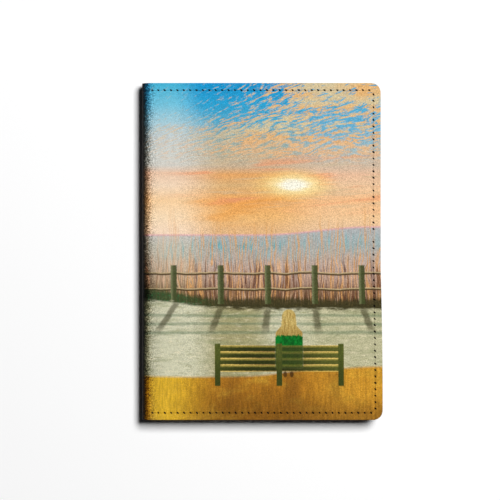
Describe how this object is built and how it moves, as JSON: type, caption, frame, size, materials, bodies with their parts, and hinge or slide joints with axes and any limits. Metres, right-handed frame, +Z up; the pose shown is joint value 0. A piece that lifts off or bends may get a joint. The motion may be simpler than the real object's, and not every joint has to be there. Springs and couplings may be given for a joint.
{
  "type": "sketchbook",
  "caption": "Slim pocket sketchbook: sewn paper insert tucked into a stitched, printed leather slip-on cover that opens flat at its middle.",
  "frame": {"origin": "middle of the underside of the closed book", "axes": "+X from spine to fore-edge, +Y towards the head, +Z up from the back cover to the front cover"},
  "size_m": [0.112, 0.158, 0.01],
  "materials": {
    "printed_leather": "fine pebble grain, satin print",
    "lining": "smooth dark lining",
    "pocket": "smooth, thin",
    "card": "uncoated kraft board",
    "top_thread": "waxed thread",
    "bobbin_thread": "waxed thread",
    "liner": "open-weave cotton",
    "paper": "uncoated, slight tooth",
    "sewing_thread": "linen thread"
  },
  "bodies": {
    "back_cover": {"back_skin": "printed_leather", "back_lining": "lining", "back_pocket": "pocket", "back_card": "card", "back_stitching": "top_thread", "back_bobbin_thread": "bobbin_thread"},
    "spine": {"spine_skin": "printed_leather", "spine_lining": "lining", "spine_card": "card", "spine_liner": "liner", "spine_stitching": "top_thread", "spine_bobbin_thread": "bobbin_thread"},
    "front_hinge": {"hinge_skin": "printed_leather", "hinge_lining": "lining", "hinge_card": "card", "hinge_stitching": "top_thread", "hinge_bobbin_thread": "bobbin_thread"},
    "front_cover": {"front_skin": "printed_leather", "front_lining": "lining", "front_pocket": "pocket", "front_card": "card", "front_stitching": "top_thread", "front_bobbin_thread": "bobbin_thread"},
    "signature_1": {"sheet_1_1": "paper", "sheet_1_2": "paper", "sheet_1_3": "paper", "sewing_thread_1": "sewing_thread"},
    "signature_2": {"sheet_2_1": "paper", "sheet_2_2": "paper", "sheet_2_3": "paper", "sewing_thread_2": "sewing_thread"},
    "signature_3": {"sheet_3_1": "paper", "sheet_3_2": "paper", "sheet_3_3": "paper", "sewing_thread_3": "sewing_thread"},
    "signature_4": {"sheet_4_1": "paper", "sheet_4_2": "paper", "sheet_4_3": "paper", "sewing_thread_4": "sewing_thread"},
    "signature_5": {"sheet_5_1": "paper", "sheet_5_2": "paper", "sheet_5_3": "paper", "sewing_thread_5": "sewing_thread"},
    "signature_6": {"sheet_6_1": "paper", "sheet_6_2": "paper", "sheet_6_3": "paper", "sewing_thread_6": "sewing_thread"}
  },
  "joints": [
    {"name": "spine_fold", "type": "hinge", "parent": "back_cover", "child": "spine", "pos_m": [-0.05555, 0, 0.00045], "axis": [0, -1, 0], "range_deg": [0, 90]},
    {"name": "front_fold", "type": "hinge", "parent": "spine", "child": "front_hinge", "pos_m": [-0.05555, 0, 0.00957], "axis": [0, -1, 0], "range_deg": [0, 90]},
    {"name": "cover_crease", "type": "hinge", "parent": "front_hinge", "child": "front_cover", "pos_m": [-0.05085, 0, 0.01007], "axis": [0, -1, 0], "range_deg": [0, 175]},
    {"name": "signature_1_turn", "type": "hinge", "parent": "spine", "child": "signature_1", "pos_m": [-0.0537, 0, 0.0023], "axis": [0, -1, 0], "range_deg": [-90, 0]},
    {"name": "signature_2_turn", "type": "hinge", "parent": "spine", "child": "signature_2", "pos_m": [-0.05345, 0, 0.00255], "axis": [0, -1, 0], "range_deg": [-90, 0]},
    {"name": "signature_3_turn", "type": "hinge", "parent": "spine", "child": "signature_3", "pos_m": [-0.0532, 0, 0.0028], "axis": [0, -1, 0], "range_deg": [-90, 0]},
    {"name": "signature_4_turn", "type": "hinge", "parent": "spine", "child": "signature_4", "pos_m": [-0.0532, 0, 0.00722], "axis": [0, -1, 0], "range_deg": [0, 90]},
    {"name": "signature_5_turn", "type": "hinge", "parent": "spine", "child": "signature_5", "pos_m": [-0.05345, 0, 0.00747], "axis": [0, -1, 0], "range_deg": [0, 90]},
    {"name": "signature_6_turn", "type": "hinge", "parent": "spine", "child": "signature_6", "pos_m": [-0.0537, 0, 0.00772], "axis": [0, -1, 0], "range_deg": [0, 90]}
  ],
  "couplings": [
    {"joint": "front_fold", "follows": "spine_fold", "ratio": 1},
    {"joint": "signature_1_turn", "follows": "spine_fold", "ratio": -1},
    {"joint": "signature_2_turn", "follows": "spine_fold", "ratio": -1},
    {"joint": "signature_3_turn", "follows": "spine_fold", "ratio": -1},
    {"joint": "signature_4_turn", "follows": "spine_fold", "ratio": 1},
    {"joint": "signature_5_turn", "follows": "spine_fold", "ratio": 1},
    {"joint": "signature_6_turn", "follows": "spine_fold", "ratio": 1}
  ]
}
